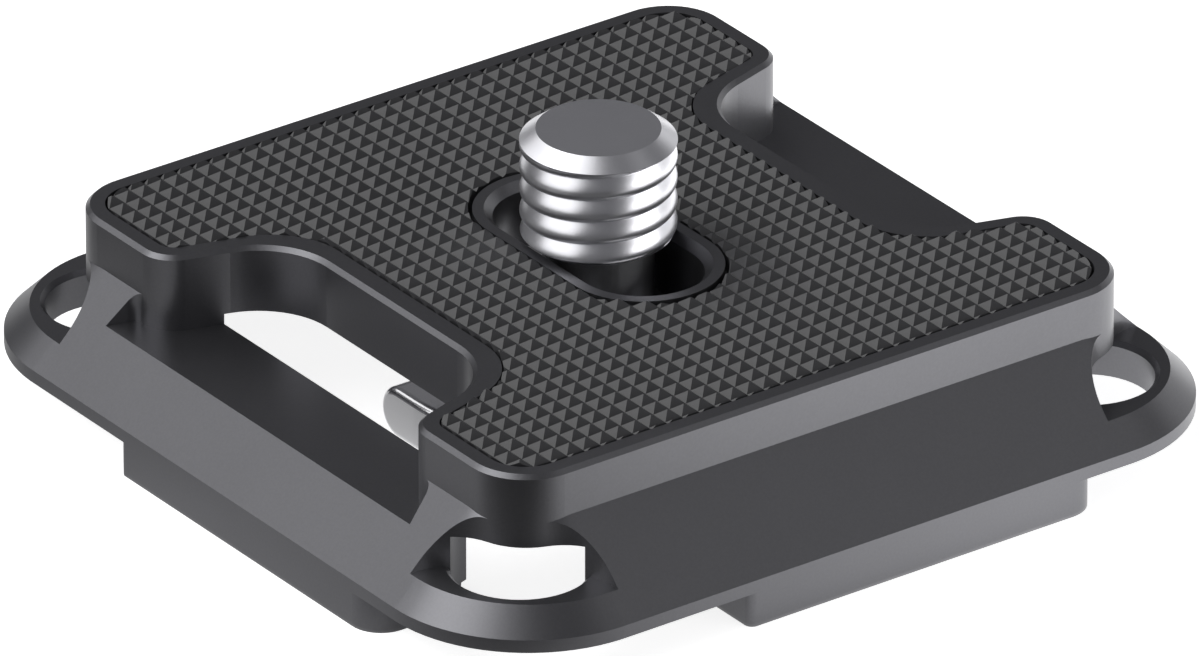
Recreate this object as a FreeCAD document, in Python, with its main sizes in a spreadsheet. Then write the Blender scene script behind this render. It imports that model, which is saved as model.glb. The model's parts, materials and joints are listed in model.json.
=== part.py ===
import FreeCAD, Part
import math
import os
import Sketcher

# Quick release plate for a tripod head, in millimetres.
# +Z is up, +X runs to the right along the front side and -Y is the front.
# The origin is at the middle of the plate, on the surface that its feet stand on.

# Driving dimensions: name, value, meaning.
SIZES = [
    ("flange_width", 38.0, "width of the dovetail flange, both ways"),
    ("flange_corner", 6.5, "radius of the flange's corners, in plan"),
    ("rim_height", 0.56, "upright edge of the flange"),
    ("foot_height", 1.5, "drop from the flange to the foot pads' underside"),
    ("slope_run", 3.5, "width of the dovetail's slope of 45 degrees, in plan"),
    ("block_corner", 2.6, "radius of the block's upright corners"),
    ("plate_height", 7.6, "foot pads' underside to the top face"),
    ("top_chamfer", 0.18, "broken edge round the top face"),
    ("web_thickness", 2.9, "top face to the roof of the recess below"),
    ("recess_wall", 0.8, "wall between the block's side and the recess"),
    ("recess_corner", 1.0, "radius of the recess's corners"),
    ("relief_radius", 2.75, "radius of the relief holes at the recess's corners"),
    ("relief_inset", 0.7, "recess's wall to the relief holes' centres, both ways"),
    ("relief_web", 3.2, "top face to the roof of the relief holes"),
    ("relief_chamfer", 0.2, "broken edge where a relief hole opens on its ledge"),
    ("strap_bar_depth", 1.83, "recess's wall to a strap bar's inner face"),
    ("strap_bar_end", 5.2, "end of a strap bar's thick part from the recess's corner"),
    ("strap_bar_top", 4.25, "foot pads' underside to the strap bar's top face"),
    ("strap_bar_nose", 1.4, "outer radius at the ends of that thick part"),
    ("strap_bar_root", 0.3, "inner radius at those ends, on the recess's wall"),
    ("foot_square_end", 12.6, "square end of a foot pad from the flange's far side"),
    ("foot_round_end", 8.0, "rounded end of a foot pad from the flange's near side"),
    ("foot_square_radius", 0.35, "corner radius of the square end, in plan"),
    ("foot_round_radius", 1.4, "corner radius of the rounded end, in plan"),
    ("foot_inner_radius", 1.2, "rounding of a foot pad's lower edge towards the recess"),
    ("ledge_height", 3.1, "foot pads' underside to the ledges at the corners"),
    ("ledge_cutter", 2.37, "radius that the corner ledges are cut with"),
    ("ledge_end", 6.92, "end of a corner ledge from the flange's side"),
    ("notch_depth", 5.3, "depth of the side notch, from the block's side"),
    ("notch_corner", 8.5, "notch's sharp inner corner from the block's far side"),
    ("notch_corner_radius", 3.4, "radius of the notch's inner corners"),
    ("notch_lip", 6.9, "sharp corner of the notch's lip from the block's corner"),
    ("notch_lip_radius", 1.5, "radius of the notch's lip"),
    ("notch_flare", 5.35, "start of the flare across the dovetail, likewise"),
    ("notch_flare_radius", 0.5, "radius at the start of the flare"),
    ("notch_mouth", 4.0, "end of the flare beyond the flange, likewise"),
    ("cutter_overrun", 2.0, "how far side cuts are drawn beyond the flange"),
    ("slot_width", 5.0, "width of the camera screw's slot"),
    ("slot_travel", 3.2, "travel of the camera screw each way"),
    ("slot_end_gap", 0.05, "gap between the neck and the slot's end at full travel"),
    ("slot_chamfer", 0.35, "broken edge at the slot's mouth"),
    ("pad_inset", 0.9, "grip pad's edge in from the top face's edge"),
    ("pad_corner", 1.7, "radius of the grip pad's outer corners"),
    ("pad_lip_inset", 0.57, "grip pad's lip corner in from the notch's, along the side"),
    ("pad_notch_inset", 0.63, "grip pad's inner corner in from the notch's, likewise"),
    ("pad_lip_radius", 0.8, "radius of the grip pad's lip corners"),
    ("pad_slot_width", 6.8, "width of the grip pad's hole round the slot"),
    ("pad_slot_end", 1.05, "hole's end beyond the slot's end"),
    ("pad_depth", 0.8, "depth of the pocket that the grip pad lies in"),
    ("pad_gap", 0.08, "gap between the grip pad and its pocket's wall"),
    ("pad_drop", 0.1, "top face down to the valleys between the pyramids"),
    ("tooth_pitch", 0.8, "pitch of the grip pad's pyramids"),
    ("tooth_height", 0.3, "height of the grip pad's pyramids"),
    ("screw_diameter", 6.35, "camera screw's thread, over its crests"),
    ("screw_length", 4.85, "top face to the camera screw's tip"),
    ("screw_chamfer", 0.65, "width of the chamfer at the tip"),
    ("screw_chamfer_height", 0.49, "height of the chamfer at the tip"),
    ("screw_lift", 0.2, "top face to the lowest thread"),
    ("screw_shoulder", 0.3, "chamfer under the lowest thread"),
    ("neck_diameter", 4.5, "camera screw's neck, in the slot"),
    ("head_diameter", 8.0, "camera screw's head, under the web"),
    ("head_underside", 0.5, "foot pads' underside to the head's underside"),
    ("head_chamfer", 0.3, "chamfer round the head's underside"),
    ("coin_slot_width", 1.3, "width of the coin slot in the head"),
    ("coin_slot_depth", 0.5, "depth of the coin slot in the head"),
    ("washer_diameter", 9.2, "washer between the web and the head"),
    ("washer_thickness", 0.4, "thickness of that washer"),
    ("washer_bore_gap", 0.1, "gap round the neck in the washer"),
    ("seat_gap", 0.05, "gap over and under the washer"),
    ("ring_end_gap", 0.3, "gap between the ring and the recess's wall at full travel"),
    ("ring_arm", 1.2, "straight arm of the ring, hinge line to the bow's centre"),
    ("ring_width", 2.0, "width of the ring's flat bar, in the ring's plane"),
    ("ring_thickness", 2.2, "thickness of that bar, which the arms' ends are rounded to"),
    ("ring_rounding", 0.3, "rounding of the bar's edges"),
    ("ring_height", 2.6, "foot pads' underside to the ring's hinge line"),
    ("ring_pin_diameter", 1.6, "hinge pin through the ring's arms and the head"),
    ("ring_bore_gap", 0.08, "gap round the pin in the head's cross hole"),
]

doc = FreeCAD.newDocument("quick_release_plate")
sizes = doc.addObject("Spreadsheet::Sheet", "sizes")
for row, (name, number, meaning) in enumerate(SIZES, start=1):
    sizes.set(f"A{row}", name)
    sizes.set(f"B{row}", str(number))
    sizes.setAlias(f"B{row}", name)
    sizes.set(f"C{row}", meaning)
doc.recompute()


FLANGE_HALF = "(sizes.flange_width / 2)"
RIM_TOP = "(sizes.foot_height + sizes.rim_height)"
BLOCK_HALF = f"({FLANGE_HALF} - sizes.slope_run)"
RECESS_HALF = f"({BLOCK_HALF} - sizes.recess_wall)"
RECESS_ROOF = "(sizes.plate_height - sizes.web_thickness)"
NOTCH_FLOOR = f"({BLOCK_HALF} - sizes.notch_depth)"
NOTCH_CORNER = f"({BLOCK_HALF} - sizes.notch_corner)"
NOTCH_LIP = f"({BLOCK_HALF} - sizes.notch_lip)"
SLOT_HALF_LENGTH = "(sizes.slot_travel + sizes.neck_diameter / 2 + sizes.slot_end_gap)"
CUT_EDGE = f"({FLANGE_HALF} + sizes.cutter_overrun)"
PAD_FLOOR = "(sizes.plate_height - sizes.pad_depth)"
HEAD_TOP = f"({RECESS_ROOF} - sizes.washer_thickness - 2 * sizes.seat_gap)"
RING_REACH = f"({RECESS_HALF} - sizes.slot_travel - sizes.ring_end_gap)"
RING_OUTER = f"({RING_REACH} - sizes.ring_arm)"
RING_INNER = f"({RING_OUTER} - sizes.ring_width)"


def value(formula):
    """The number that a formula of the sheet gives."""
    return float(sizes.evalExpression(formula))


def origin_part(body, role):
    """A body's own origin plane or axis."""
    return next(item for item in body.Origin.OriginFeatures if item.Role == role)


def new_body(label):
    """An empty body whose label is its sub-part's name."""
    body = doc.addObject("PartDesign::Body", f"{label}_body")
    body.Label = label
    return body


def new_sketch(body, name, plane="XY_Plane", offset="0"):
    """A sketch on one of the body's origin planes, moved along its normal by a formula."""
    sketch = body.newObject("Sketcher::SketchObject", name)
    sketch.AttachmentSupport = (origin_part(body, plane), [""])
    sketch.MapMode = "FlatFace"
    sketch.setExpression("AttachmentOffset.Base.z", offset)
    return sketch


def bind(sketch, constraint, formula):
    """Adds a size constraint that follows a formula of the sheet."""
    index = sketch.addConstraint(constraint)
    sketch.setExpression(f"Constraints[{index}]", formula)


def place_point(sketch, point, end, x, y):
    """Holds a point of a sketch at two formulas."""
    bind(sketch, Sketcher.Constraint("DistanceX", -1, 1, point, end, value(x)), x)
    bind(sketch, Sketcher.Constraint("DistanceY", -1, 1, point, end, value(y)), y)


def outline(sketch, corners):
    """Draws a closed outline through corners (x, y, radius); a radius of None leaves a corner sharp."""
    points = [FreeCAD.Vector(value(x), value(y), 0) for x, y, _ in corners]
    radii = [value(radius) if radius else 0.0 for _, _, radius in corners]
    count = len(corners)
    starts, ends, arcs = [], [], []
    for i, corner in enumerate(points):
        back = (points[i - 1] - corner).normalize()
        ahead = (points[(i + 1) % count] - corner).normalize()
        half_angle = back.getAngle(ahead) / 2
        run = radii[i] / math.tan(half_angle)
        starts.append(corner + ahead * run)
        ends.append(corner + back * run)
        middle = corner + (back + ahead).normalize() * (radii[i] / math.sin(half_angle))
        arcs.append((middle, back.cross(ahead).z < 0))
    marks = [sketch.addGeometry(Part.Point(point), True) for point in points]
    lines = [
        sketch.addGeometry(Part.LineSegment(starts[i], ends[(i + 1) % count]))
        for i in range(count)
    ]
    for i, (x, y, radius) in enumerate(corners):
        place_point(sketch, marks[i], 1, x, y)
        if radius is None:
            sketch.addConstraint(Sketcher.Constraint("Coincident", marks[i], 1, lines[i], 1))
            sketch.addConstraint(Sketcher.Constraint("Coincident", marks[i], 1, lines[i - 1], 2))
            continue
        middle, left_turn = arcs[i]
        first, last = (ends[i], starts[i]) if left_turn else (starts[i], ends[i])
        first_angle = math.atan2(first.y - middle.y, first.x - middle.x)
        last_angle = math.atan2(last.y - middle.y, last.x - middle.x)
        circle = Part.Circle(middle, FreeCAD.Vector(0, 0, 1), radii[i])
        arc = sketch.addGeometry(Part.ArcOfCircle(circle, first_angle, last_angle))
        into, out_of = (1, 2) if left_turn else (2, 1)
        sketch.addConstraint(Sketcher.Constraint("Tangent", lines[i - 1], 2, arc, into))
        sketch.addConstraint(Sketcher.Constraint("Tangent", arc, out_of, lines[i], 1))
        sketch.addConstraint(Sketcher.Constraint("PointOnObject", marks[i], 1, lines[i]))
        sketch.addConstraint(Sketcher.Constraint("PointOnObject", marks[i], 1, lines[i - 1]))
        bind(sketch, Sketcher.Constraint("Radius", arc, radii[i]), radius)


def rectangle(left, bottom, right, top, radius=None):
    """The corners of an upright rectangle, with one radius for all four."""
    return [
        (left, bottom, radius),
        (right, bottom, radius),
        (right, top, radius),
        (left, top, radius),
    ]


def square(half, radius=None):
    """The corners of a square about the origin, from half its width."""
    return rectangle(f"-{half}", f"-{half}", half, half, radius)


def circle(sketch, x, y, diameter):
    """Draws a circle whose centre and diameter follow formulas."""
    centre = FreeCAD.Vector(value(x), value(y), 0)
    item = sketch.addGeometry(Part.Circle(centre, FreeCAD.Vector(0, 0, 1), value(diameter) / 2))
    place_point(sketch, item, 3, x, y)
    bind(sketch, Sketcher.Constraint("Diameter", item, value(diameter)), diameter)


def obround(sketch, half_width, half_length):
    """Draws a slot with round ends that runs along the sketch's Y axis."""
    side = f"({half_width})"
    end = f"({half_length} - {half_width})"
    radius = value(side)
    run = value(end)
    normal = FreeCAD.Vector(0, 0, 1)
    far = Part.Circle(FreeCAD.Vector(0, run, 0), normal, radius)
    near = Part.Circle(FreeCAD.Vector(0, -run, 0), normal, radius)
    far_arc = sketch.addGeometry(Part.ArcOfCircle(far, 0, math.pi))
    near_arc = sketch.addGeometry(Part.ArcOfCircle(near, math.pi, 2 * math.pi))
    left = sketch.addGeometry(
        Part.LineSegment(FreeCAD.Vector(-radius, run, 0), FreeCAD.Vector(-radius, -run, 0)))
    right = sketch.addGeometry(
        Part.LineSegment(FreeCAD.Vector(radius, -run, 0), FreeCAD.Vector(radius, run, 0)))
    sketch.addConstraint(Sketcher.Constraint("Tangent", far_arc, 2, left, 1))
    sketch.addConstraint(Sketcher.Constraint("Tangent", left, 2, near_arc, 1))
    sketch.addConstraint(Sketcher.Constraint("Tangent", near_arc, 2, right, 1))
    sketch.addConstraint(Sketcher.Constraint("Tangent", right, 2, far_arc, 1))
    sketch.addConstraint(Sketcher.Constraint("Vertical", left))
    sketch.addConstraint(Sketcher.Constraint("PointOnObject", far_arc, 3, -2))
    sketch.addConstraint(Sketcher.Constraint("PointOnObject", near_arc, 3, -2))
    bind(sketch, Sketcher.Constraint("Radius", far_arc, radius), side)
    bind(sketch, Sketcher.Constraint("DistanceY", -1, 1, far_arc, 3, run), end)
    bind(sketch, Sketcher.Constraint("DistanceY", near_arc, 3, -1, 1, run), end)


def pad(body, name, sketch, length, against_normal=False):
    """Adds a pad whose length follows a formula."""
    feature = body.newObject("PartDesign::Pad", name)
    feature.Profile = sketch
    feature.Reversed = against_normal
    feature.setExpression("Length", length)
    return feature


def pocket(body, name, sketch, length, along_normal=False):
    """Adds a pocket whose depth follows a formula and checks that it cuts."""
    doc.recompute()
    before = body.Shape.Volume
    feature = body.newObject("PartDesign::Pocket", name)
    feature.Profile = sketch
    feature.Reversed = along_normal
    feature.setExpression("Length", length)
    doc.recompute()
    if not feature.Shape.Volume < before:
        raise RuntimeError(f"{name} cuts nothing")
    return feature


def quarter_turns(body, name, features):
    """Repeats features at the four sides or corners."""
    pattern = body.newObject("PartDesign::PolarPattern", name)
    pattern.Originals = features
    pattern.Axis = (origin_part(body, "Z_Axis"), [""])
    pattern.Angle = 360
    pattern.Occurrences = 4
    body.Tip = pattern
    return pattern


def chamfer(body, name, base, size, wanted):
    """Chamfers the edges of a feature that a test picks."""
    doc.recompute()
    edges = [
        f"Edge{number}"
        for number, edge in enumerate(base.Shape.Edges, start=1)
        if wanted(edge)
    ]
    feature = body.newObject("PartDesign::Chamfer", name)
    feature.Base = (base, edges)
    feature.setExpression("Size", size)
    return feature


def near(number, target):
    """Whether two lengths are the same to a micrometre."""
    return abs(number - target) < 0.001


def notch_outline():
    """The corners of the notch in the block's right side."""
    mouth = f"({BLOCK_HALF} - sizes.notch_mouth)"
    flare = f"({BLOCK_HALF} - sizes.notch_flare)"
    return [
        (CUT_EDGE, f"-{mouth}", None),
        (CUT_EDGE, mouth, None),
        (BLOCK_HALF, flare, "sizes.notch_flare_radius"),
        (BLOCK_HALF, NOTCH_LIP, "sizes.notch_lip_radius"),
        (NOTCH_FLOOR, NOTCH_CORNER, "sizes.notch_corner_radius"),
        (NOTCH_FLOOR, f"-{NOTCH_CORNER}", "sizes.notch_corner_radius"),
        (BLOCK_HALF, f"-{NOTCH_LIP}", "sizes.notch_lip_radius"),
        (BLOCK_HALF, f"-{flare}", "sizes.notch_flare_radius"),
    ]


def recess_outline():
    """The corners of the recess under the web, between the strap bars."""
    bar = f"({RECESS_HALF} - sizes.strap_bar_depth)"
    run = f"({RECESS_HALF} - sizes.strap_bar_end)"
    right = [
        (RECESS_HALF, f"-{RECESS_HALF}", "sizes.recess_corner"),
        (RECESS_HALF, f"-{run}", "sizes.strap_bar_root"),
        (bar, f"-{run}", "sizes.strap_bar_nose"),
        (bar, run, "sizes.strap_bar_nose"),
        (RECESS_HALF, run, "sizes.strap_bar_root"),
        (RECESS_HALF, RECESS_HALF, "sizes.recess_corner"),
    ]
    left = [(f"-{x}", y, bend) for x, y, bend in reversed(right)]
    return right + left


def pad_outline(gap):
    """The corners of the grip pad, or of its pocket, grown by a gap."""
    out = f"({BLOCK_HALF} - sizes.pad_inset + {gap})"
    wall = f"({NOTCH_FLOOR} - sizes.top_chamfer - sizes.pad_inset + {gap})"
    lip = f"({NOTCH_LIP} + sizes.pad_lip_inset)"
    bend = f"({NOTCH_CORNER} + sizes.pad_notch_inset)"
    quarter = [
        (wall, bend, "sizes.notch_corner_radius"),
        (out, lip, "sizes.pad_lip_radius"),
        (out, out, "sizes.pad_corner"),
    ]
    mirrored = [(f"-{x}", y, radius) for x, y, radius in reversed(quarter)]
    upper = quarter + mirrored
    lower = [(x, f"-{y}", radius) for x, y, radius in reversed(upper)]
    return upper + lower


def corner_ledge(sketch):
    """Draws the cut that runs round a block corner's post and leaves the flange's side."""
    post_middle = f"({BLOCK_HALF} - sizes.block_corner)"
    ledge_end = f"({FLANGE_HALF} - sizes.ledge_end)"
    centre = value(post_middle)
    post = value("sizes.block_corner")
    cutter = value("sizes.ledge_cutter")
    end = value(ledge_end)
    edge = value(CUT_EDGE)
    rise = end + cutter - centre
    angle = math.asin(rise / (post + cutter))
    across = centre + math.sqrt((post + cutter) ** 2 - rise ** 2)
    normal = FreeCAD.Vector(0, 0, 1)
    post_circle = Part.Circle(FreeCAD.Vector(centre, centre, 0), normal, post)
    low_circle = Part.Circle(FreeCAD.Vector(across, end + cutter, 0), normal, cutter)
    high_circle = Part.Circle(FreeCAD.Vector(end + cutter, across, 0), normal, cutter)
    quarter = math.pi / 2
    post_arc = sketch.addGeometry(Part.ArcOfCircle(post_circle, angle, quarter - angle))
    low_arc = sketch.addGeometry(Part.ArcOfCircle(low_circle, angle + math.pi, 3 * quarter))
    high_arc = sketch.addGeometry(Part.ArcOfCircle(high_circle, math.pi, 3 * quarter - angle))
    low = FreeCAD.Vector(across, end, 0)
    right = FreeCAD.Vector(edge, end, 0)
    far = FreeCAD.Vector(edge, edge, 0)
    back = FreeCAD.Vector(end, edge, 0)
    high = FreeCAD.Vector(end, across, 0)
    low_line = sketch.addGeometry(Part.LineSegment(low, right))
    right_line = sketch.addGeometry(Part.LineSegment(right, far))
    back_line = sketch.addGeometry(Part.LineSegment(far, back))
    high_line = sketch.addGeometry(Part.LineSegment(back, high))
    for rule in [
        Sketcher.Constraint("Tangent", post_arc, 1, low_arc, 1),
        Sketcher.Constraint("Tangent", post_arc, 2, high_arc, 2),
        Sketcher.Constraint("Tangent", low_arc, 2, low_line, 1),
        Sketcher.Constraint("Tangent", high_line, 2, high_arc, 1),
        Sketcher.Constraint("Coincident", low_line, 2, right_line, 1),
        Sketcher.Constraint("Coincident", right_line, 2, back_line, 1),
        Sketcher.Constraint("Coincident", back_line, 2, high_line, 1),
        Sketcher.Constraint("Horizontal", low_line),
        Sketcher.Constraint("Vertical", right_line),
        Sketcher.Constraint("Horizontal", back_line),
        Sketcher.Constraint("Vertical", high_line),
    ]:
        sketch.addConstraint(rule)
    place_point(sketch, post_arc, 3, post_middle, post_middle)
    place_point(sketch, right_line, 2, CUT_EDGE, CUT_EDGE)
    bind(sketch, Sketcher.Constraint("Radius", post_arc, post), "sizes.block_corner")
    bind(sketch, Sketcher.Constraint("Radius", low_arc, cutter), "sizes.ledge_cutter")
    bind(sketch, Sketcher.Constraint("Radius", high_arc, cutter), "sizes.ledge_cutter")
    bind(sketch, Sketcher.Constraint("DistanceY", -1, 1, low_line, 1, end), ledge_end)
    bind(sketch, Sketcher.Constraint("DistanceX", -1, 1, high_line, 2, end), ledge_end)


def add_foot_pads(body):
    """Adds the four foot pads, each with one square end and one rounded end."""
    left = f"-({FLANGE_HALF} - sizes.foot_square_end)"
    right = f"({FLANGE_HALF} - sizes.foot_round_end)"
    foot = new_sketch(body, "foot_outline")
    outline(foot, [
        (left, f"-{FLANGE_HALF}", "sizes.foot_square_radius"),
        (right, f"-{FLANGE_HALF}", "sizes.foot_round_radius"),
        (right, f"-{RECESS_HALF}", None),
        (left, f"-{RECESS_HALF}", None),
    ])
    foot_pad = pad(body, "foot_pad", foot, RIM_TOP)

    radius = "sizes.foot_inner_radius"
    over = "sizes.cutter_overrun"
    edge = new_sketch(body, "foot_edge_outline", "YZ_Plane", f"-{CUT_EDGE}")
    outline(edge, [
        (f"-{RECESS_HALF} - {radius} - {over}", "0", None),
        (f"-{RECESS_HALF}", "0", radius),
        (f"-{RECESS_HALF}", "sizes.foot_height", None),
        (f"-{RECESS_HALF} + {over}", "sizes.foot_height", None),
        (f"-{RECESS_HALF} + {over}", f"-{over}", None),
        (f"-{RECESS_HALF} - {radius} - {over}", f"-{over}", None),
    ])
    foot_edge = pocket(body, "foot_edge", edge, f"2 * {CUT_EDGE}", along_normal=True)
    quarter_turns(body, "foot_pads", [foot_pad, foot_edge])


def add_corners(body):
    """Cuts the relief hole and the ledge at each corner."""
    centre = f"({RECESS_HALF} - sizes.relief_inset)"
    relief = new_sketch(body, "relief_outline")
    circle(relief, centre, centre, "2 * sizes.relief_radius")
    relief_roof = "sizes.plate_height - sizes.relief_web"
    relief_hole = pocket(body, "relief_hole", relief, relief_roof, along_normal=True)

    ledge = new_sketch(body, "ledge_outline", offset="sizes.ledge_height")
    corner_ledge(ledge)
    ledge_rise = "sizes.plate_height - sizes.ledge_height"
    ledge_cut = pocket(body, "ledge", ledge, ledge_rise, along_normal=True)
    corners = quarter_turns(body, "corners", [relief_hole, ledge_cut])

    height = value("sizes.ledge_height")
    radius = value("sizes.relief_radius")
    chamfer(body, "relief_edge", corners, "sizes.relief_chamfer", lambda edge: (
        near(edge.BoundBox.ZMin, height) and near(edge.BoundBox.ZMax, height)
        and isinstance(edge.Curve, Part.Circle) and near(edge.Curve.Radius, radius)))


def make_plate_body():
    """The aluminium plate: dovetail flange, block, recess, strap bars and foot pads."""
    body = new_body("plate_body")

    flange = new_sketch(body, "flange_outline", offset="sizes.foot_height")
    outline(flange, square(FLANGE_HALF, "sizes.flange_corner"))
    pad(body, "flange", flange, "sizes.rim_height")

    slope = new_sketch(body, "slope_outline", offset=RIM_TOP)
    outline(slope, square(FLANGE_HALF, "sizes.flange_corner"))
    dovetail = pad(body, "dovetail", slope, "sizes.slope_run")
    dovetail.TaperAngle = -45

    block = new_sketch(body, "block_outline", offset="sizes.foot_height")
    outline(block, square(BLOCK_HALF, "sizes.block_corner"))
    pad(body, "block", block, "sizes.plate_height - sizes.foot_height")

    add_foot_pads(body)

    recess = new_sketch(body, "recess_outline")
    outline(recess, recess_outline())
    pocket(body, "recess", recess, RECESS_ROOF, along_normal=True)

    add_corners(body)

    notch = new_sketch(body, "notch_outline", offset="sizes.plate_height")
    outline(notch, notch_outline())
    notch_cut = pocket(body, "notch", notch, "sizes.plate_height - sizes.strap_bar_top")
    notches = body.newObject("PartDesign::Mirrored", "notches")
    notches.Originals = [notch_cut]
    notches.MirrorPlane = (origin_part(body, "YZ_Plane"), [""])
    body.Tip = notches

    top = value("sizes.plate_height")
    chamfer(body, "top_edge", notches, "sizes.top_chamfer", lambda edge: (
        near(edge.BoundBox.ZMin, top) and near(edge.BoundBox.ZMax, top)))

    slot = new_sketch(body, "slot_outline", offset="sizes.plate_height")
    obround(slot, "sizes.slot_width / 2", SLOT_HALF_LENGTH)
    slot_cut = pocket(body, "slot", slot, "sizes.web_thickness")
    chamfer(body, "slot_mouth", slot_cut, "sizes.slot_chamfer", lambda edge: (
        near(edge.BoundBox.ZMin, top) and near(edge.BoundBox.ZMax, top)
        and max(abs(edge.BoundBox.XMin), abs(edge.BoundBox.XMax)) < value("sizes.slot_width")))

    tray = new_sketch(body, "tray_outline", offset="sizes.plate_height")
    outline(tray, pad_outline("sizes.pad_gap"))
    obround(tray, "sizes.pad_slot_width / 2 - sizes.pad_gap",
            f"{SLOT_HALF_LENGTH} + sizes.pad_slot_end - sizes.pad_gap")
    pocket(body, "tray", tray, "sizes.pad_depth")
    return body


def comb(name, turn):
    """A block whose top is a row of ridges, as long and as wide as the block of the plate."""
    pitch = value("sizes.tooth_pitch")
    valley = value("sizes.plate_height - sizes.pad_drop")
    tip = valley + value("sizes.tooth_height")
    floor = value(PAD_FLOOR)
    half = value(BLOCK_HALF)
    teeth = math.ceil(half / pitch)
    edge = teeth * pitch
    points = [FreeCAD.Vector(-edge, -edge, floor)]
    for number in range(-teeth, teeth):
        points.append(FreeCAD.Vector(number * pitch, -edge, valley))
        points.append(FreeCAD.Vector((number + 0.5) * pitch, -edge, tip))
    points.append(FreeCAD.Vector(edge, -edge, valley))
    points.append(FreeCAD.Vector(edge, -edge, floor))
    profile = Part.Face(Part.makePolygon(points + points[:1]))
    ridges = doc.addObject("Part::Feature", name)
    ridges.Shape = profile.extrude(FreeCAD.Vector(0, 2 * edge, 0))
    ridges.Placement = FreeCAD.Placement(
        FreeCAD.Vector(0, 0, 0), FreeCAD.Rotation(FreeCAD.Vector(0, 0, 1), turn))
    return ridges


def make_grip_pad():
    """The rubber pad: its outline cut by ridges that cross, which leaves square pyramids."""
    sketch = doc.addObject("Sketcher::SketchObject", "grip_outline")
    sketch.setExpression("Placement.Base.z", PAD_FLOOR)
    outline(sketch, pad_outline("0"))
    obround(sketch, "sizes.pad_slot_width / 2", f"{SLOT_HALF_LENGTH} + sizes.pad_slot_end")
    blank = doc.addObject("Part::Extrusion", "grip_blank")
    blank.Base = sketch
    blank.DirMode = "Normal"
    blank.Solid = True
    blank.setExpression("LengthFwd", "sizes.pad_depth + sizes.tooth_height")
    ribs = doc.addObject("Part::Common", "grip_ribs")
    ribs.Base = blank
    ribs.Tool = comb("ridges_across", 0)
    grip = doc.addObject("Part::Common", "grip_pad")
    grip.Base = ribs
    grip.Tool = comb("ridges_along", 90)
    return grip


def make_camera_screw():
    """The captive screw: thread, neck in the slot, and the head with the ring's cross hole."""
    body = new_body("camera_screw")
    profile = new_sketch(body, "screw_profile", "XZ_Plane")
    thread = "sizes.screw_diameter / 2"
    neck = "sizes.neck_diameter / 2"
    rim = "sizes.head_diameter / 2"
    start = "(sizes.plate_height + sizes.screw_lift)"
    tip = "(sizes.plate_height + sizes.screw_length)"
    outline(profile, [
        ("0", "sizes.head_underside", None),
        (f"({rim} - sizes.head_chamfer)", "sizes.head_underside", None),
        (rim, "(sizes.head_underside + sizes.head_chamfer)", None),
        (rim, HEAD_TOP, None),
        (neck, HEAD_TOP, None),
        (neck, start, None),
        (f"({thread} - sizes.screw_shoulder)", start, None),
        (thread, f"({start} + sizes.screw_shoulder)", None),
        (thread, f"({tip} - sizes.screw_chamfer_height)", None),
        (f"({thread} - sizes.screw_chamfer)", tip, None),
        ("0", tip, None),
    ])
    turned = body.newObject("PartDesign::Revolution", "turned_screw")
    turned.Profile = profile
    turned.ReferenceAxis = (profile, ["V_Axis"])
    turned.Angle = 360

    bore = new_sketch(body, "ring_bore_outline", "YZ_Plane", f"-{rim}")
    circle(bore, "0", "sizes.ring_height", "sizes.ring_pin_diameter + 2 * sizes.ring_bore_gap")
    pocket(body, "ring_bore", bore, "sizes.head_diameter", along_normal=True)

    coin = new_sketch(body, "coin_outline", offset="sizes.head_underside")
    side = "sizes.coin_slot_width / 2"
    outline(coin, rectangle(f"-{rim}", f"-{side}", rim, side))
    pocket(body, "coin_slot", coin, "sizes.coin_slot_depth", along_normal=True)
    return body


def cylinder(name, radius, height, base_z):
    """An upright cylinder whose sizes follow formulas."""
    item = doc.addObject("Part::Cylinder", name)
    item.setExpression("Radius", radius)
    item.setExpression("Height", height)
    item.setExpression("Placement.Base.z", base_z)
    return item


def make_screw_washer():
    """The thin washer that the screw's head turns on."""
    base = f"{HEAD_TOP} + sizes.seat_gap"
    bore = "sizes.neck_diameter / 2 + sizes.washer_bore_gap"
    disc = cylinder("washer_disc", "sizes.washer_diameter / 2", "sizes.washer_thickness", base)
    hole = cylinder("washer_hole", bore, "sizes.washer_thickness", base)
    washer = doc.addObject("Part::Cut", "screw_washer")
    washer.Base = disc
    washer.Tool = hole
    return washer


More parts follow.
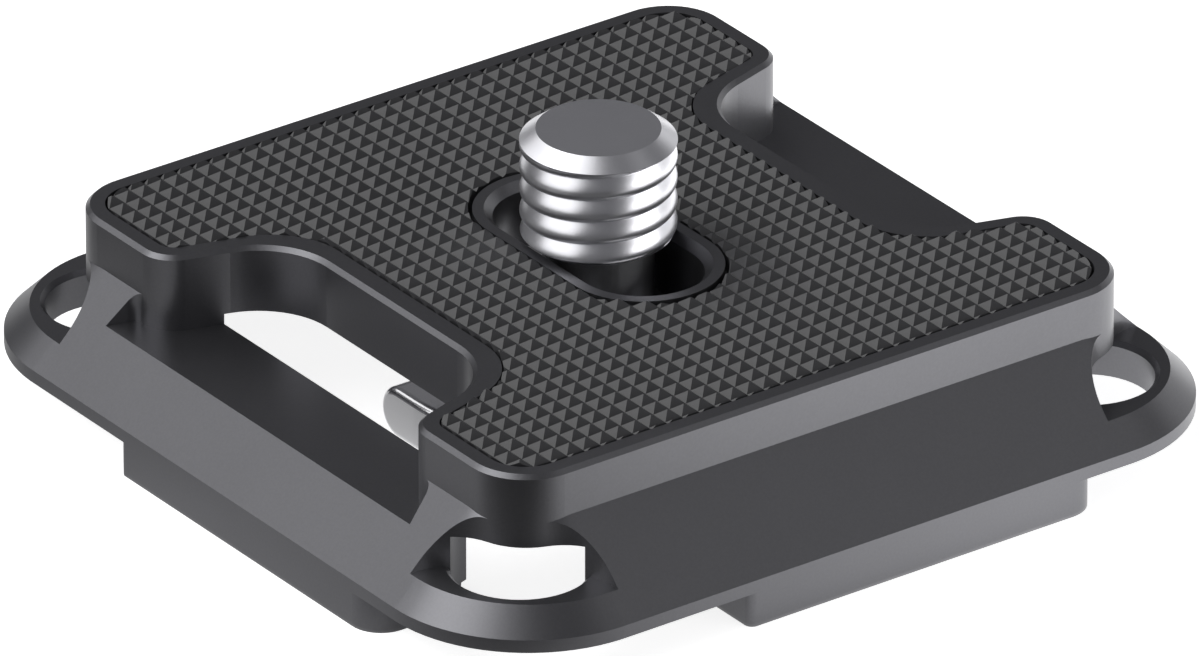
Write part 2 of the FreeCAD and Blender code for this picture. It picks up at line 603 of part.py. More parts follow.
def bow_outline(sketch):
    """Draws the ring in plan: two straight arms from the hinge line and a half-round bow."""
    centre = "-sizes.ring_arm"
    outer = value(RING_OUTER)
    inner = value(RING_INNER)
    low = value(centre)
    normal = FreeCAD.Vector(0, 0, 1)
    middle = FreeCAD.Vector(0, low, 0)
    outer_bow = sketch.addGeometry(
        Part.ArcOfCircle(Part.Circle(middle, normal, outer), math.pi, 2 * math.pi))
    inner_bow = sketch.addGeometry(
        Part.ArcOfCircle(Part.Circle(middle, normal, inner), math.pi, 2 * math.pi))
    arms = [(outer, 0, inner, 0), (-outer, 0, -inner, 0)]
    sides = [(outer, low, outer, 0), (inner, low, inner, 0),
             (-outer, low, -outer, 0), (-inner, low, -inner, 0)]
    lines = [
        sketch.addGeometry(Part.LineSegment(FreeCAD.Vector(x1, y1, 0), FreeCAD.Vector(x2, y2, 0)))
        for x1, y1, x2, y2 in sides + arms
    ]
    right_out, right_in, left_out, left_in, right_end, left_end = lines
    for rule in [
        Sketcher.Constraint("Tangent", outer_bow, 2, right_out, 1),
        Sketcher.Constraint("Tangent", outer_bow, 1, left_out, 1),
        Sketcher.Constraint("Tangent", inner_bow, 2, right_in, 1),
        Sketcher.Constraint("Tangent", inner_bow, 1, left_in, 1),
        Sketcher.Constraint("Coincident", right_out, 2, right_end, 1),
        Sketcher.Constraint("Coincident", right_in, 2, right_end, 2),
        Sketcher.Constraint("Coincident", left_out, 2, left_end, 1),
        Sketcher.Constraint("Coincident", left_in, 2, left_end, 2),
        Sketcher.Constraint("Vertical", right_out),
        Sketcher.Constraint("Vertical", left_out),
        Sketcher.Constraint("Vertical", right_in),
        Sketcher.Constraint("Vertical", left_in),
        Sketcher.Constraint("PointOnObject", right_end, 1, -1),
        Sketcher.Constraint("PointOnObject", right_end, 2, -1),
        Sketcher.Constraint("PointOnObject", left_end, 1, -1),
        Sketcher.Constraint("PointOnObject", left_end, 2, -1),
    ]:
        sketch.addConstraint(rule)
    place_point(sketch, outer_bow, 3, "0", centre)
    bind(sketch, Sketcher.Constraint("Radius", outer_bow, outer), RING_OUTER)
    bind(sketch, Sketcher.Constraint("Radius", inner_bow, inner), RING_INNER)


def make_d_ring():
    """The folding ring: a flat bar bent to a bow, with an eye at the end of each arm."""
    body = new_body("d_ring")
    bow = new_sketch(body, "bow_outline", offset="sizes.ring_height - sizes.ring_thickness / 2")
    bow_outline(bow)
    pad(body, "bow", bow, "sizes.ring_thickness")

    eye = new_sketch(body, "eye_outline", "YZ_Plane", RING_INNER)
    circle(eye, "0", "sizes.ring_height", "sizes.ring_thickness")
    right_eye = pad(body, "right_eye", eye, "sizes.ring_width")
    eyes = body.newObject("PartDesign::Mirrored", "eyes")
    eyes.Originals = [right_eye]
    eyes.MirrorPlane = (origin_part(body, "YZ_Plane"), [""])
    body.Tip = eyes

    bent = [value(radius) for radius in (RING_OUTER, RING_INNER, "sizes.ring_thickness / 2")]
    doc.recompute()
    rounded = body.newObject("PartDesign::Fillet", "rounded_bar")
    rounded.Base = (eyes, [
        f"Edge{number}"
        for number, edge in enumerate(eyes.Shape.Edges, start=1)
        if isinstance(edge.Curve, Part.Circle) and any(near(edge.Curve.Radius, r) for r in bent)
        or near(edge.BoundBox.YLength, edge.Length)
    ])
    rounded.setExpression("Radius", "sizes.ring_rounding")

    bore = new_sketch(body, "pin_bore_outline", "YZ_Plane", f"-{RING_OUTER}")
    circle(bore, "0", "sizes.ring_height", "sizes.ring_pin_diameter")
    pocket(body, "pin_bore", bore, f"2 * {RING_OUTER}", along_normal=True)
    return body


def make_ring_pin():
    """The hinge pin, pressed into the ring's arms and flush with their outer faces."""
    pin = cylinder("ring_pin", "sizes.ring_pin_diameter / 2", f"2 * {RING_OUTER}",
                   "sizes.ring_height")
    pin.Placement.Rotation = FreeCAD.Rotation(FreeCAD.Vector(0, 1, 0), 90)
    pin.setExpression("Placement.Base.x", f"-{RING_OUTER}")
    return pin


def check_document():
    """Stops if any object of the document failed."""
    for item in doc.Objects:
        if "Invalid" in item.State or "Error" in item.State:
            raise RuntimeError(f"{item.Name} failed: {item.State}")


def export(part):
    """Writes a sub-part's shape to the file that its label names."""
    shape = part.Shape
    if shape.isNull() or not shape.isValid() or len(shape.Solids) != 1:
        raise RuntimeError(f"{part.Label} is not one valid solid")
    shape.exportStep(f"parts/{part.Label}.step")
    box = shape.BoundBox
    print(f"{part.Label}: {shape.Volume:.2f} mm3, x {box.XMin:.2f}..{box.XMax:.2f}, "
          f"y {box.YMin:.2f}..{box.YMax:.2f}, z {box.ZMin:.2f}..{box.ZMax:.2f}")


sub_parts = [
    make_plate_body(),
    make_grip_pad(),
    make_camera_screw(),
    make_screw_washer(),
    make_d_ring(),
    make_ring_pin(),
]
doc.recompute()
check_document()
os.makedirs("parts", exist_ok=True)
for sub_part in sub_parts:
    export(sub_part)
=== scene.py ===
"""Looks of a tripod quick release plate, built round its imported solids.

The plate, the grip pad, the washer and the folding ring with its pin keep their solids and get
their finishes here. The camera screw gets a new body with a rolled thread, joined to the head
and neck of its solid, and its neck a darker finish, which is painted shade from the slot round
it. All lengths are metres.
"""
import json
import logging
import math
from dataclasses import dataclass, field
from enum import Enum

import bpy
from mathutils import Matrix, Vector


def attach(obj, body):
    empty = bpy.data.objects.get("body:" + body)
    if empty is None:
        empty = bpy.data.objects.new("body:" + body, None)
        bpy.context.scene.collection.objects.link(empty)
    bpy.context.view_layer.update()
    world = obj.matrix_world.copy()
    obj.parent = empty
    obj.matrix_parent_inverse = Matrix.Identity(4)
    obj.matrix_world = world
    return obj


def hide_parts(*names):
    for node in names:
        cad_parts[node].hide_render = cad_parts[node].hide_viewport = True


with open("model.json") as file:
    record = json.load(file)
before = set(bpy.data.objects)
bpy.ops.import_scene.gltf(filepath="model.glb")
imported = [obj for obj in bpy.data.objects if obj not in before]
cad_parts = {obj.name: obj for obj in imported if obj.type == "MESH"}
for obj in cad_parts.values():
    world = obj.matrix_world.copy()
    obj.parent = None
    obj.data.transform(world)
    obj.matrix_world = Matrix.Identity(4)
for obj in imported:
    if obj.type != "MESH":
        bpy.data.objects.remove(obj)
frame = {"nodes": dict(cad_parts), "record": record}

LOG = logging.getLogger("quick_release_plate")
MM = 0.001
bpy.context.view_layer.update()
MERGE = 1e-7

Colour = tuple[float, float, float, float]
Point = tuple[float, float, float]


class Body(Enum):
    """The moving bodies, by their names in the record."""

    WASHER = "washer"
    SCREW = "screw"
    RING = "ring"


def grey(level: float, tint: float = 0.0) -> Colour:
    """A grey colour, which a tint above 0 makes a little blue."""
    return (level, level, level * (1.0 + tint), 1.0)


def deselect() -> None:
    """Leaves object mode with nothing selected."""
    if bpy.context.object and bpy.context.object.mode != "OBJECT":
        bpy.ops.object.mode_set(mode="OBJECT")
    bpy.ops.object.select_all(action="DESELECT")


def activate(item: bpy.types.Object) -> None:
    """Selects one object alone and makes it the active one.

    Args:
        item: The object.
    """
    deselect()
    item.select_set(True)
    bpy.context.view_layer.objects.active = item


def edit_all(item: bpy.types.Object) -> None:
    """Opens an object's mesh for editing with all of it selected.

    Args:
        item: The object.
    """
    activate(item)
    bpy.ops.object.mode_set(mode="EDIT")
    bpy.ops.mesh.select_all(action="SELECT")


def apply_modifier(item: bpy.types.Object, kind: str, **settings: object) -> None:
    """Adds a modifier, sets it up and applies it.

    Args:
        item: The object that gets it.
        kind: The modifier's type.
        **settings: The modifier's properties by name.
    """
    activate(item)
    modifier = item.modifiers.new(kind.lower(), kind)
    for name, setting in settings.items():
        setattr(modifier, name, setting)
    bpy.ops.object.modifier_apply(modifier=modifier.name)


def line_object(name: str, points: list[Point]) -> bpy.types.Object:
    """An object that holds one open line of edges.

    Args:
        name: The object's name.
        points: The line's points.

    Returns:
        The new object.
    """
    mesh = bpy.data.meshes.new(name)
    edges = [(index, index + 1) for index in range(len(points) - 1)]
    mesh.from_pydata(points, edges, [])
    item = bpy.data.objects.new(name, mesh)
    bpy.context.collection.objects.link(item)
    return item


def close_surface(item: bpy.types.Object) -> None:
    """Merges doubles and turns all faces outwards.

    Args:
        item: The object.
    """
    edit_all(item)
    bpy.ops.mesh.remove_doubles(threshold=MERGE)
    bpy.ops.mesh.normals_make_consistent(inside=False)
    bpy.ops.object.mode_set(mode="OBJECT")


def lathe(name: str, outline: list[tuple[float, float]], steps: int) -> bpy.types.Object:
    """A closed turned solid about the Z axis.

    Args:
        name: The object's name.
        outline: Points (radius, height) that start and end on the axis.
        steps: The number of flats round the axis.

    Returns:
        The new object.
    """
    item = line_object(name, [(radius, 0.0, height) for radius, height in outline])
    edit_all(item)
    bpy.ops.mesh.spin(steps=steps, angle=math.tau, center=(0, 0, 0), axis=(0, 0, 1))
    bpy.ops.object.mode_set(mode="OBJECT")
    close_surface(item)
    return item


class Sheet:
    """A node tree with short ways to add and link its nodes."""

    def __init__(self, tree: bpy.types.NodeTree) -> None:
        """Holds the tree that gets the nodes."""
        self.tree = tree

    def node(self, kind: str, **settings: object) -> bpy.types.Node:
        """Adds a node.

        Args:
            kind: The node's type name.
            **settings: Properties of the node by name.

        Returns:
            The new node.
        """
        item = self.tree.nodes.new(kind)
        for name, setting in settings.items():
            setattr(item, name, setting)
        return item

    def link(self, source: bpy.types.NodeSocket, target: bpy.types.NodeSocket) -> None:
        """Joins an output to an input."""
        self.tree.links.new(source, target)


def new_group(name: str, inputs: dict[str, float | None], outputs: list[str]) -> Sheet:
    """A shader node group with named sockets.

    Args:
        name: The group's name.
        inputs: Socket name to starting value, or to None for a vector.
        outputs: The names of the value sockets that it gives.

    Returns:
        The group's tree, with its input and output nodes in place.
    """
    tree = bpy.data.node_groups.new(name, "ShaderNodeTree")
    for socket, start in inputs.items():
        kind = "NodeSocketVector" if start is None else "NodeSocketFloat"
        item = tree.interface.new_socket(socket, in_out="INPUT", socket_type=kind)
        if start is not None:
            item.default_value = start
    for socket in outputs:
        tree.interface.new_socket(socket, in_out="OUTPUT", socket_type="NodeSocketFloat")
    sheet = Sheet(tree)
    sheet.node("NodeGroupInput", name="in")
    sheet.node("NodeGroupOutput", name="out")
    return sheet


def grain_group() -> bpy.types.NodeTree:
    """A group for fine grain over broad clouds.

    Returns:
        The group, which gives a mask from 0 to 1 and a height for bumps.
    """
    sheet = new_group(
        "fine_grain",
        {"Vector": None, "Fine Scale": 9000.0, "Broad Scale": 300.0, "Broad Share": 0.3},
        ["Mask", "Height"])
    source = sheet.tree.nodes["in"].outputs
    target = sheet.tree.nodes["out"].inputs
    fine = sheet.node("ShaderNodeTexNoise")
    fine.inputs["Detail"].default_value = 2.0
    broad = sheet.node("ShaderNodeTexNoise")
    broad.inputs["Detail"].default_value = 3.0
    sheet.link(source["Vector"], fine.inputs["Vector"])
    sheet.link(source["Vector"], broad.inputs["Vector"])
    sheet.link(source["Fine Scale"], fine.inputs["Scale"])
    sheet.link(source["Broad Scale"], broad.inputs["Scale"])
    blend = sheet.node("ShaderNodeMix", data_type="FLOAT")
    sheet.link(source["Broad Share"], blend.inputs["Factor"])
    sheet.link(fine.outputs["Fac"], blend.inputs["A"])
    sheet.link(broad.outputs["Fac"], blend.inputs["B"])
    sheet.link(blend.outputs["Result"], target["Mask"])
    sheet.link(fine.outputs["Fac"], target["Height"])
    return sheet.tree


def rub_group() -> bpy.types.NodeTree:
    """A group for the places where a surface is rubbed: patchy, and only below a height.

    Returns:
        The group, which gives a mask from 0 to 1.
    """
    sheet = new_group(
        "rub_marks",
        {"Vector": None, "Top": 0.15 * MM, "Fade": 0.1 * MM, "Scale": 700.0, "Amount": 0.5},
        ["Mask"])
    source = sheet.tree.nodes["in"].outputs
    target = sheet.tree.nodes["out"].inputs
    place = sheet.node("ShaderNodeSeparateXYZ")
    sheet.link(source["Vector"], place.inputs[0])
    below = sheet.node("ShaderNodeMath", operation="SUBTRACT")
    sheet.link(source["Top"], below.inputs[0])
    sheet.link(place.outputs["Z"], below.inputs[1])
    share = sheet.node("ShaderNodeMath", operation="DIVIDE", use_clamp=True)
    sheet.link(below.outputs[0], share.inputs[0])
    sheet.link(source["Fade"], share.inputs[1])
    patches = sheet.node("ShaderNodeTexNoise")
    patches.inputs["Detail"].default_value = 4.0
    sheet.link(source["Vector"], patches.inputs["Vector"])
    sheet.link(source["Scale"], patches.inputs["Scale"])
    patchy = sheet.node("ShaderNodeMath", operation="MULTIPLY")
    sheet.link(share.outputs[0], patchy.inputs[0])
    sheet.link(patches.outputs["Fac"], patchy.inputs[1])
    amount = sheet.node("ShaderNodeMath", operation="MULTIPLY", use_clamp=True)
    sheet.link(patchy.outputs[0], amount.inputs[0])
    sheet.link(source["Amount"], amount.inputs[1])
    sheet.link(amount.outputs[0], target["Mask"])
    return sheet.tree


@dataclass(frozen=True)
class Finish:
    """A surface finish: its colours, gloss, grain and rubbed places."""

    name: str
    dark: Colour
    light: Colour
    metallic: float
    rough_low: float
    rough_high: float
    specular: float = 0.5
    fine_scale: float = 9000.0
    broad_scale: float = 300.0
    broad_share: float = 0.3
    bump: float = 0.1
    bump_depth: float = 0.01 * MM
    rubbed: Colour | None = None

    def build(self, grain: bpy.types.NodeTree, rub: bpy.types.NodeTree) -> bpy.types.Material:
        """Makes the material.

        Args:
            grain: The shared grain group.
            rub: The shared group of rubbed places.

        Returns:
            The new material.
        """
        material = bpy.data.materials.new(self.name)
        material.use_nodes = True
        sheet = Sheet(material.node_tree)
        shader = material.node_tree.nodes["Principled BSDF"]
        shader.inputs["Metallic"].default_value = self.metallic
        shader.inputs["Specular IOR Level"].default_value = self.specular
        place = sheet.node("ShaderNodeTexCoord")
        texture = sheet.node("ShaderNodeGroup", node_tree=grain)
        texture.inputs["Fine Scale"].default_value = self.fine_scale
        texture.inputs["Broad Scale"].default_value = self.broad_scale
        texture.inputs["Broad Share"].default_value = self.broad_share
        sheet.link(place.outputs["Object"], texture.inputs["Vector"])
        colour = sheet.node("ShaderNodeMix", data_type="RGBA")
        colour.inputs["A"].default_value = self.dark
        colour.inputs["B"].default_value = self.light
        sheet.link(texture.outputs["Mask"], colour.inputs["Factor"])
        shown = colour.outputs["Result"]
        if self.rubbed:
            marks = sheet.node("ShaderNodeGroup", node_tree=rub)
            sheet.link(place.outputs["Object"], marks.inputs["Vector"])
            worn = sheet.node("ShaderNodeMix", data_type="RGBA")
            worn.inputs["B"].default_value = self.rubbed
            sheet.link(shown, worn.inputs["A"])
            sheet.link(marks.outputs["Mask"], worn.inputs["Factor"])
            shown = worn.outputs["Result"]
        sheet.link(shown, shader.inputs["Base Color"])
        gloss = sheet.node("ShaderNodeMapRange")
        gloss.inputs["To Min"].default_value = self.rough_low
        gloss.inputs["To Max"].default_value = self.rough_high
        sheet.link(texture.outputs["Mask"], gloss.inputs["Value"])
        sheet.link(gloss.outputs["Result"], shader.inputs["Roughness"])
        bump = sheet.node("ShaderNodeBump")
        bump.inputs["Strength"].default_value = self.bump
        bump.inputs["Distance"].default_value = self.bump_depth
        sheet.link(texture.outputs["Height"], bump.inputs["Height"])
        sheet.link(bump.outputs["Normal"], shader.inputs["Normal"])
        return material


ANODISED = Finish(
    name="black_anodised", dark=grey(0.17, 0.06), light=grey(0.212, 0.06), metallic=0.9,
    rough_low=0.3, rough_high=0.37, broad_scale=250.0, bump=0.2, rubbed=grey(0.45))
RUBBER = Finish(
    name="grip_rubber", dark=grey(0.027, 0.08), light=grey(0.036, 0.08), metallic=0.0,
    rough_low=0.33, rough_high=0.41, specular=1.0, fine_scale=14000.0, broad_scale=400.0,
    bump=0.15)
TURNED_STEEL = Finish(
    name="turned_steel", dark=grey(0.88, 0.04), light=grey(0.95, 0.04), metallic=1.0,
    rough_low=0.3, rough_high=0.36, fine_scale=7000.0, broad_scale=500.0, broad_share=0.4,
    bump=0.03, bump_depth=0.004 * MM)
# Painted shade: the neck's darker grey stands in for the shade of the slot round it.
SHADED_NECK = Finish(
    name="neck_painted_shade", dark=grey(0.24, 0.04), light=grey(0.3, 0.04), metallic=1.0,
    rough_low=0.36, rough_high=0.44, fine_scale=7000.0, broad_scale=500.0, broad_share=0.4,
    bump=0.05, bump_depth=0.004 * MM)
POLISHED_STEEL = Finish(
    name="polished_ring", dark=grey(0.86, 0.02), light=grey(0.92, 0.02), metallic=1.0,
    rough_low=0.14, rough_high=0.2, fine_scale=7000.0, broad_scale=400.0, broad_share=0.5,
    bump=0.03, bump_depth=0.004 * MM)
BLACK_NYLON = Finish(
    name="black_nylon", dark=grey(0.03), light=grey(0.045), metallic=0.0,
    rough_low=0.45, rough_high=0.55, fine_scale=6000.0, broad_scale=500.0, broad_share=0.4)


def dress(item: bpy.types.Object, material: bpy.types.Material) -> None:
    """Gives an object one material all over."""
    item.data.materials.clear()
    item.data.materials.append(material)


def dress_body(body: Body, material: bpy.types.Material) -> None:
    """Gives every solid of one body the same material."""
    for name in frame["record"]["behaviour"]["bodies"][body.value]:
        dress(frame["nodes"][name], material)


@dataclass
class Plate:
    """The plate with its grip pad, and the washer under its web."""

    def build(self, metal: bpy.types.Material, rubber: bpy.types.Material,
              nylon: bpy.types.Material) -> None:
        """Dresses the solids.

        Args:
            metal: The plate's finish.
            rubber: The grip pad's finish.
            nylon: The washer's finish.
        """
        dress(frame["nodes"]["plate_body"], metal)
        dress(frame["nodes"]["grip_pad"], rubber)
        dress_body(Body.WASHER, nylon)
        LOG.info("plate, grip pad and washer dressed")


@dataclass
class FoldingRing:
    """The folding ring and its hinge pin."""

    def build(self, steel: bpy.types.Material) -> None:
        """Dresses the solids.

        Args:
            steel: The ring's finish.
        """
        dress_body(Body.RING, steel)
        LOG.info("folding ring dressed")


@dataclass
class CameraScrew:
    """The captive camera screw, with its rolled thread."""

    crest_radius: float = 3.175 * MM
    root_radius: float = 2.92 * MM
    pitch: float = 0.98 * MM
    groove_height: float = 11.65 * MM
    groove_angle: float = math.radians(234.0)
    crest_share: float = 0.34
    thread_start: float = 7.8 * MM
    shoulder: float = 0.18 * MM
    tip: float = 12.45 * MM
    tip_radius: float = 2.525 * MM
    tip_chamfer_height: float = 0.49 * MM
    neck_bottom: float = 4.5 * MM
    neck_radius: float = 2.25 * MM
    lap: float = 0.02 * MM
    proud: float = 0.005 * MM
    steps: int = 96
    ridge_points: int = 16
    spare_turns: int = 3
    row_merge: float = 0.001 * MM
    smooth_angle: float = math.radians(28.0)

    def ridge(self) -> list[Point]:
        """One ridge of the thread, from groove to groove, fullest below its middle.

        Returns:
            The points of the ridge's outline, from the bottom up.
        """
        turns_down = math.ceil((self.groove_height - self.thread_start) / self.pitch) + 1
        low = self.groove_height - turns_down * self.pitch
        depth = self.crest_radius - self.root_radius
        skew = math.log(0.5) / math.log(self.crest_share)
        points = []
        for index in range(self.ridge_points + 1):
            turn = index / self.ridge_points
            radius = self.root_radius + depth * math.sin(math.pi * turn)
            points.append((
                radius * math.cos(self.groove_angle),
                radius * math.sin(self.groove_angle),
                low + self.pitch * turn ** (1.0 / skew)))
        return points

    def endless_thread(self) -> bpy.types.Object:
        """A thread longer than the screw needs, closed at both ends.

        Returns:
            The thread's object.
        """
        turns = math.ceil((self.tip - self.thread_start) / self.pitch) + self.spare_turns
        item = line_object("camera_screw_thread", self.ridge())
        apply_modifier(
            item, "SCREW", axis="Z", angle=math.tau, screw_offset=self.pitch,
            iterations=turns, steps=self.steps, render_steps=self.steps,
            use_merge_vertices=True, merge_threshold=MERGE)
        edit_all(item)
        bpy.ops.mesh.remove_doubles(threshold=self.row_merge)
        bpy.ops.mesh.select_all(action="DESELECT")
        bpy.ops.mesh.select_non_manifold()
        bpy.ops.mesh.edge_face_add()
        bpy.ops.object.mode_set(mode="OBJECT")
        close_surface(item)
        return item

    def blank(self) -> bpy.types.Object:
        """The turned blank that the thread is cut to, a hair wider than its crests.

        Returns:
            The blank's object.
        """
        skin = self.crest_radius + 2 * self.proud
        return lathe("screw_blank", [
            (0.0, self.thread_start),
            (skin - self.shoulder, self.thread_start),
            (skin, self.thread_start + self.shoulder),
            (skin, self.tip - self.tip_chamfer_height),
            (0.0, self.tip - self.tip_chamfer_height),
        ], self.steps)

    def nose(self) -> bpy.types.Object:
        """The chamfered tip, which laps over the thread's end.

        Returns:
            The tip's object.
        """
        skin = self.crest_radius + self.proud
        seat = self.tip - self.tip_chamfer_height
        return lathe("screw_nose", [
            (0.0, seat - self.lap),
            (skin, seat - self.lap),
            (skin, seat),
            (self.tip_radius, self.tip),
            (0.0, self.tip),
        ], self.steps)

    def head(self) -> bpy.types.Object:
        """The head and neck of the screw's solid, cut under the thread and lapped into it.

        Returns:
            The head's object.
        """
        item = frame["nodes"]["camera_screw"].copy()
        item.data = item.data.copy()
        item.name = "camera_screw_head"
        bpy.context.collection.objects.link(item)
        close_surface(item)
        edit_all(item)
        bpy.ops.mesh.bisect(
            plane_co=(0, 0, self.thread_start - self.lap), plane_no=(0, 0, 1),
            use_fill=True, clear_outer=True, threshold=MERGE)
        bpy.ops.mesh.extrude_region_move(
            TRANSFORM_OT_translate={"value": (0, 0, 2 * self.lap)})
        bpy.ops.object.mode_set(mode="OBJECT")
        return item

    def combine(self, item: bpy.types.Object, tool: bpy.types.Object, operation: str) -> None:
        """Joins or cuts an object with another, which is used up.

        Args:
            item: The object that changes.
            tool: The object that it is joined or cut with.
            operation: The Boolean modifier's operation.
        """
        apply_modifier(item, "BOOLEAN", object=tool, operation=operation, solver="EXACT")
        bpy.data.objects.remove(tool)

    def paint_neck_shade(self, item: bpy.types.Object, finish: bpy.types.Material) -> None:
        """Gives the neck a darker finish of its own, which is painted shade from the slot round
        it.

        Args:
            item: The screw.
            finish: The neck's darker finish, painted shade.
        """
        item.data.materials.append(finish)
        for face in item.data.polygons:
            between = self.neck_bottom < face.center.z < self.thread_start
            if between and face.center.xy.length < self.neck_radius + self.lap:
                face.material_index = 1

    def build(self, steel: bpy.types.Material, neck: bpy.types.Material) -> None:
        """Cuts the thread to length and gives it its tip, neck and head.

        Args:
            steel: The screw's finish.
            neck: The darker finish of the neck under the thread, painted shade.
        """
        screw = self.endless_thread()
        self.combine(screw, self.blank(), "INTERSECT")
        self.combine(screw, self.nose(), "UNION")
        self.combine(screw, self.head(), "UNION")
        screw.name = "threaded_camera_screw"
        activate(screw)
        bpy.ops.object.shade_smooth_by_angle(angle=self.smooth_angle)
        dress(screw, steel)
        # The neck under the thread gets painted shade: a darker grey.
        self.paint_neck_shade(screw, neck)
        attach(screw, Body.SCREW.value)
        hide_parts("camera_screw")
        LOG.info("%s: %d faces", screw.name, len(screw.data.polygons))


@dataclass(frozen=True)
class Lamp:
    """A flat softbox that faces the plate."""

    name: str
    place: Point
    width: float
    height: float
    brightness: float

    def hang(self) -> None:
        """Puts the lamp into the scene; a brightness of 1 shows as white in a mirror."""
        data = bpy.data.lights.new(self.name, "AREA")
        data.shape = "RECTANGLE"
        data.size = self.width
        data.size_y = self.height
        data.energy = self.brightness * math.pi * self.width * self.height
        item = bpy.data.objects.new(self.name, data)
        item.location = self.place
        item.rotation_euler = Vector(self.place).to_track_quat("Z", "Y").to_euler()
        bpy.context.collection.objects.link(item)


@dataclass
class Studio:
    """The camera, the floor and the soft lights."""

    azimuth: float = math.radians(-36.0065)
    elevation: float = math.radians(27.551)
    distance: float = 971.7 * MM
    shift_right: float = 0.062 * MM
    shift_up: float = 1.70 * MM
    middle_height: float = 1.5 * MM
    lens: float = 725.25
    near_clip: float = 0.01
    floor_size: float = 3.0
    floor_roughness: float = 0.9
    floor_colour: Colour = grey(0.8)
    # The dark of the painted shade that only the metal reflects from the floor.
    reflected_shade_colour: Colour = grey(0.05)
    backdrop_glow: float = 0.84
    # Painted reflection of light: a glow on the floor that only the metal sees, rising along this
    # way.
    reflected_light_along: Point = (0.9, 0.1, 0.0)
    reflected_light_from: float = -20.0 * MM
    reflected_light_to: float = 6.0 * MM
    # Two patches of painted shade in the metal's reflections, at the front left and the back
    # left.
    front_shade_along: Point = (-0.7, -0.7, 0.0)
    front_shade_from: float = 20.0 * MM
    front_shade_to: float = 30.0 * MM
    back_shade_along: Point = (-0.5, 0.85, 0.0)
    back_shade_from: float = 12.0 * MM
    back_shade_to: float = 40.0 * MM
    # Painted shadow: round this point under the plate the floor loses its backdrop glow.
    pocket: Point = (5.7 * MM, 12.3 * MM, 0.0)
    pocket_inner: float = 2.5 * MM
    pocket_outer: float = 3.5 * MM
    room: Colour = grey(0.098, 0.06)
    lamps: list[Lamp] = field(default_factory=lambda: [
        Lamp("back_left_softbox", (-0.12, 0.52, 0.52), 0.62, 0.62, 0.9),
        Lamp("top_left_softbox", (-0.31, 0.1, 0.58), 0.53, 0.53, 1.2),
        Lamp("left_wall", (-0.78, 0.13, 0.45), 1.0, 0.9, 1.2),
        Lamp("right_wall", (0.8, 0.0, 0.19), 0.9, 0.36, 0.6),
        Lamp("front_right_strip", (0.42, -0.64, 0.17), 0.62, 0.3, 3.0),
        Lamp("front_right_fill", (0.32, -0.3, 0.46), 0.3, 0.3, 0.25),
    ])

    def camera(self) -> None:
        """Places the camera at the photograph's viewpoint."""
        back = Vector((
            math.sin(self.azimuth) * math.cos(self.elevation),
            -math.cos(self.azimuth) * math.cos(self.elevation),
            math.sin(self.elevation)))
        right = Vector((math.cos(self.azimuth), math.sin(self.azimuth), 0.0))
        up = back.cross(right)
        target = right * self.shift_right + up * self.shift_up
        target += Vector((0.0, 0.0, self.middle_height))
        data = bpy.data.cameras.new("camera")
        data.lens = self.lens
        data.clip_start = self.near_clip
        item = bpy.data.objects.new("camera", data)
        item.location = target + back * self.distance
        item.rotation_euler = back.to_track_quat("Z", "Y").to_euler()
        bpy.context.collection.objects.link(item)
        bpy.context.scene.camera = item

    def ramp(self, sheet: Sheet, along: Point, start: float, stop: float) -> bpy.types.NodeSocket:
        """A value that climbs from 0 to 1 across the floor.

        Args:
            sheet: The floor's node tree.
            along: The direction that it climbs in.
            start: The distance along it where it leaves 0.
            stop: The distance along it where it reaches 1.

        Returns:
            The socket that gives the value.
        """
        place = sheet.node("ShaderNodeTexCoord")
        distance = sheet.node("ShaderNodeVectorMath", operation="DOT_PRODUCT")
        distance.inputs[1].default_value = along
        sheet.link(place.outputs["Object"], distance.inputs[0])
        climb = sheet.node("ShaderNodeMapRange")
        climb.inputs["From Min"].default_value = start
        climb.inputs["From Max"].default_value = stop
        sheet.link(distance.outputs["Value"], climb.inputs["Value"])
        return climb.outputs["Result"]

    def painted_shadow_mask(self, sheet: Sheet) -> bpy.types.NodeSocket:
        """A painted shadow: 0 on the floor that the screw's slot looks down on, and 1 around it.

        Args:
            sheet: The floor's node tree.

        Returns:
            The socket that gives the value.
        """
        place = sheet.node("ShaderNodeTexCoord")
        reach = sheet.node("ShaderNodeVectorMath", operation="DISTANCE")
        reach.inputs[1].default_value = self.pocket
        sheet.link(place.outputs["Object"], reach.inputs[0])
        climb = sheet.node("ShaderNodeMapRange")
        climb.inputs["From Min"].default_value = self.pocket_inner
        climb.inputs["From Max"].default_value = self.pocket_outer
        sheet.link(reach.outputs["Value"], climb.inputs["Value"])
        return climb.outputs["Result"]

    def glow(self, sheet: Sheet, path: bpy.types.Node) -> bpy.types.NodeSocket:
        """The floor's own glow: backdrop for the camera with a painted shadow, painted light for
        the metal.

        Args:
            sheet: The floor's node tree.
            path: The node that tells the rays apart.

        Returns:
            The socket that gives the glow's strength.
        """
        seen = sheet.node("ShaderNodeMath", operation="MULTIPLY")
        sheet.link(path.outputs["Is Camera Ray"], seen.inputs[0])
        # The backdrop glow is taken away under the screw's slot: a painted shadow.
        sheet.link(self.painted_shadow_mask(sheet), seen.inputs[1])
        backdrop = sheet.node("ShaderNodeMath", operation="MULTIPLY")
        backdrop.inputs[1].default_value = self.backdrop_glow
        sheet.link(seen.outputs[0], backdrop.inputs[0])
        # Painted reflection of light, for glossy rays only.
        reflected_light = self.ramp(sheet, self.reflected_light_along, self.reflected_light_from, self.reflected_light_to)
        lift = sheet.node("ShaderNodeMath", operation="MULTIPLY_ADD")
        sheet.link(path.outputs["Is Glossy Ray"], lift.inputs[0])
        sheet.link(reflected_light, lift.inputs[1])
        sheet.link(backdrop.outputs[0], lift.inputs[2])
        return lift.outputs[0]

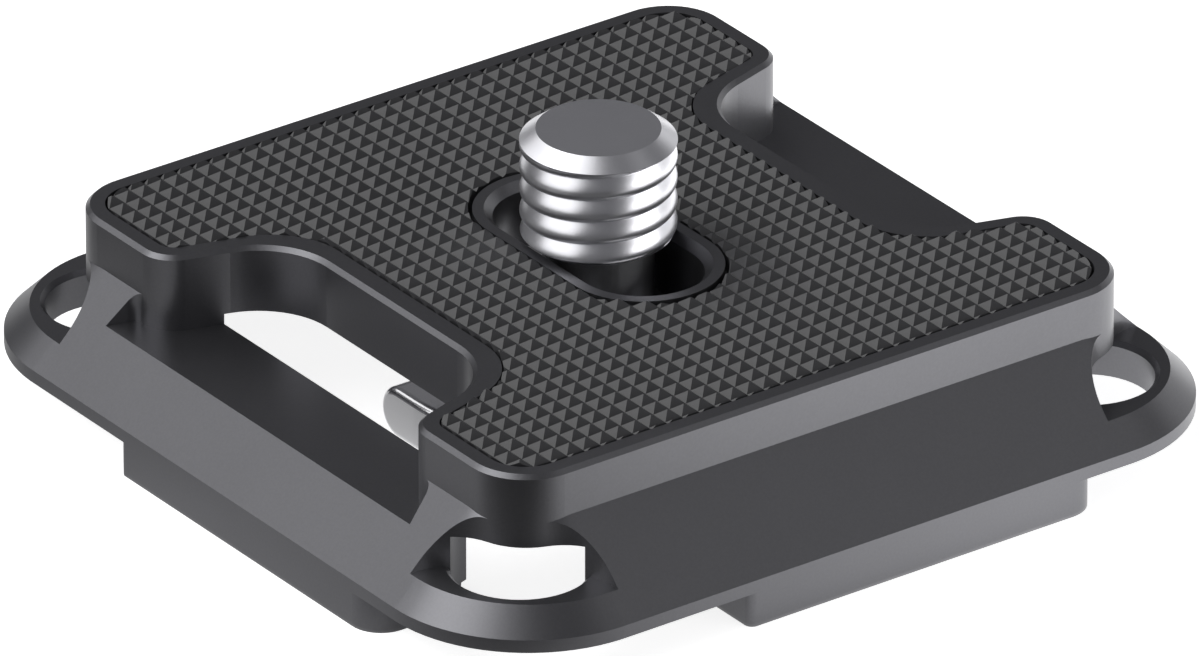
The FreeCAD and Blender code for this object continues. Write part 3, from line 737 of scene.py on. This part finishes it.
    def tint(self, sheet: Sheet, path: bpy.types.Node) -> bpy.types.NodeSocket:
        """The floor's colour: pale, with two dark patches of painted shade that only the metal
        shows.

        Args:
            sheet: The floor's node tree.
            path: The node that tells the rays apart.

        Returns:
            The socket that gives the colour.
        """
        painted_shades = sheet.node("ShaderNodeMath", operation="MAXIMUM")
        sheet.link(self.ramp(sheet, self.front_shade_along, self.front_shade_from, self.front_shade_to),
                   painted_shades.inputs[0])
        sheet.link(
            self.ramp(sheet, self.back_shade_along, self.back_shade_from, self.back_shade_to),
            painted_shades.inputs[1])
        # Painted shade, shown to glossy rays only.
        shade = sheet.node("ShaderNodeMath", operation="MULTIPLY")
        sheet.link(path.outputs["Is Glossy Ray"], shade.inputs[0])
        sheet.link(painted_shades.outputs[0], shade.inputs[1])
        colour = sheet.node("ShaderNodeMix", data_type="RGBA")
        colour.inputs["A"].default_value = self.floor_colour
        colour.inputs["B"].default_value = self.reflected_shade_colour
        sheet.link(shade.outputs[0], colour.inputs["Factor"])
        return colour.outputs["Result"]

    def floor(self) -> None:
        """Lays the floor: plain and pale, white to the camera, and clear from below."""
        deselect()
        bpy.ops.mesh.primitive_plane_add(size=self.floor_size, location=(0, 0, 0))
        floor = bpy.context.object
        floor.name = "floor"
        material = bpy.data.materials.new("pale_floor")
        material.use_nodes = True
        tree = material.node_tree
        sheet = Sheet(tree)
        path = sheet.node("ShaderNodeLightPath")
        shader = tree.nodes["Principled BSDF"]
        shader.inputs["Roughness"].default_value = self.floor_roughness
        shader.inputs["Specular IOR Level"].default_value = 0.0
        sheet.link(self.tint(sheet, path), shader.inputs["Base Color"])
        glow = sheet.node("ShaderNodeEmission")
        sheet.link(self.glow(sheet, path), glow.inputs["Strength"])
        both = sheet.node("ShaderNodeAddShader")
        sheet.link(shader.outputs[0], both.inputs[0])
        sheet.link(glow.outputs[0], both.inputs[1])
        side = sheet.node("ShaderNodeNewGeometry")
        clear = sheet.node("ShaderNodeBsdfTransparent")
        from_below = sheet.node("ShaderNodeMixShader")
        sheet.link(side.outputs["Backfacing"], from_below.inputs["Fac"])
        sheet.link(both.outputs[0], from_below.inputs[1])
        sheet.link(clear.outputs[0], from_below.inputs[2])
        sheet.link(from_below.outputs[0], tree.nodes["Material Output"].inputs["Surface"])
        dress(floor, material)

    def light(self) -> None:
        """Hangs the lamps and sets the room's dim grey light."""
        for lamp in self.lamps:
            lamp.hang()
        world = bpy.data.worlds.new("room")
        world.use_nodes = True
        world.node_tree.nodes["Background"].inputs["Color"].default_value = self.room
        bpy.context.scene.world = world

    def build(self) -> None:
        """Sets the whole studio up."""
        self.camera()
        self.floor()
        self.light()
        bpy.context.scene.view_settings.view_transform = "Standard"
        LOG.info("studio: %d lamps", len(self.lamps))


def main() -> None:
    """Builds the studio and the pieces."""
    logging.basicConfig(level=logging.INFO)
    Studio().build()
    grain = grain_group()
    rub = rub_group()
    Plate().build(
        ANODISED.build(grain, rub), RUBBER.build(grain, rub), BLACK_NYLON.build(grain, rub))
    FoldingRing().build(POLISHED_STEEL.build(grain, rub))
    # The screw's neck gets painted shade from its darker finish.
    CameraScrew().build(TURNED_STEEL.build(grain, rub), SHADED_NECK.build(grain, rub))


if __name__ == "__main__":
    main()
